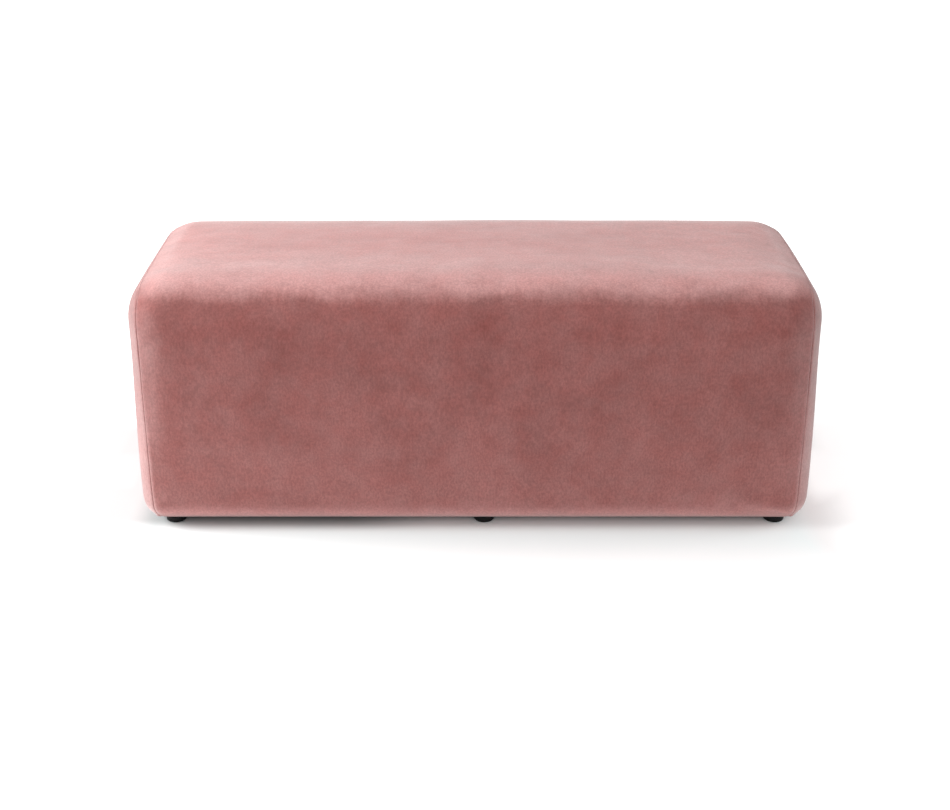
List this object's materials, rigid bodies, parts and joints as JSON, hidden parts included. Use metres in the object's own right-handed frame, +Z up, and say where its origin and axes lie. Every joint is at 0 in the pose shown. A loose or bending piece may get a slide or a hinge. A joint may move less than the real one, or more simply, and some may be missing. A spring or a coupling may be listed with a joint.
{
  "type": "upholstered bench",
  "caption": "Long low upholstered bench with a softly rounded velvet-covered seat block, sewn end panels and low round glides.",
  "frame": {"origin": "on the floor under the middle of the bench", "axes": "+X along the bench to the right as seen from the front, +Y from front to rear, +Z up"},
  "size_m": [1.2, 0.46, 0.46],
  "materials": {
    "velvet": "dusty rose short-pile velvet, pale where the pile catches the light",
    "wadding": "white polyester wadding",
    "foam": "cream upholstery foam",
    "dust_cloth": "black non-woven cloth",
    "plywood": "raw plywood",
    "pine": "planed softwood",
    "glide_plastic": "black moulded plastic",
    "screw_steel": "zinc-plated steel"
  },
  "bodies": {
    "root": {"cover_band": "velvet", "cover_left_end": "velvet", "cover_right_end": "velvet", "wadding": "wadding", "seat_foam": "foam", "front_foam": "foam", "rear_foam": "foam", "left_foam": "foam", "right_foam": "foam", "dust_cover": "dust_cloth", "seat_deck": "plywood", "front_panel": "plywood", "rear_panel": "plywood", "left_panel": "plywood", "right_panel": "plywood", "left_rib": "plywood", "right_rib": "plywood", "front_bottom_rail": "pine", "front_top_rail": "pine", "rear_bottom_rail": "pine", "rear_top_rail": "pine", "left_bottom_rail": "pine", "left_top_rail": "pine", "right_bottom_rail": "pine", "right_top_rail": "pine", "front_left_post": "pine", "front_right_post": "pine", "rear_left_post": "pine", "rear_right_post": "pine", "front_glides": "glide_plastic", "rear_glides": "glide_plastic", "glide_screws": "screw_steel", "deck_screws": "screw_steel", "rail_screws": "screw_steel"}
  },
  "joints": []
}
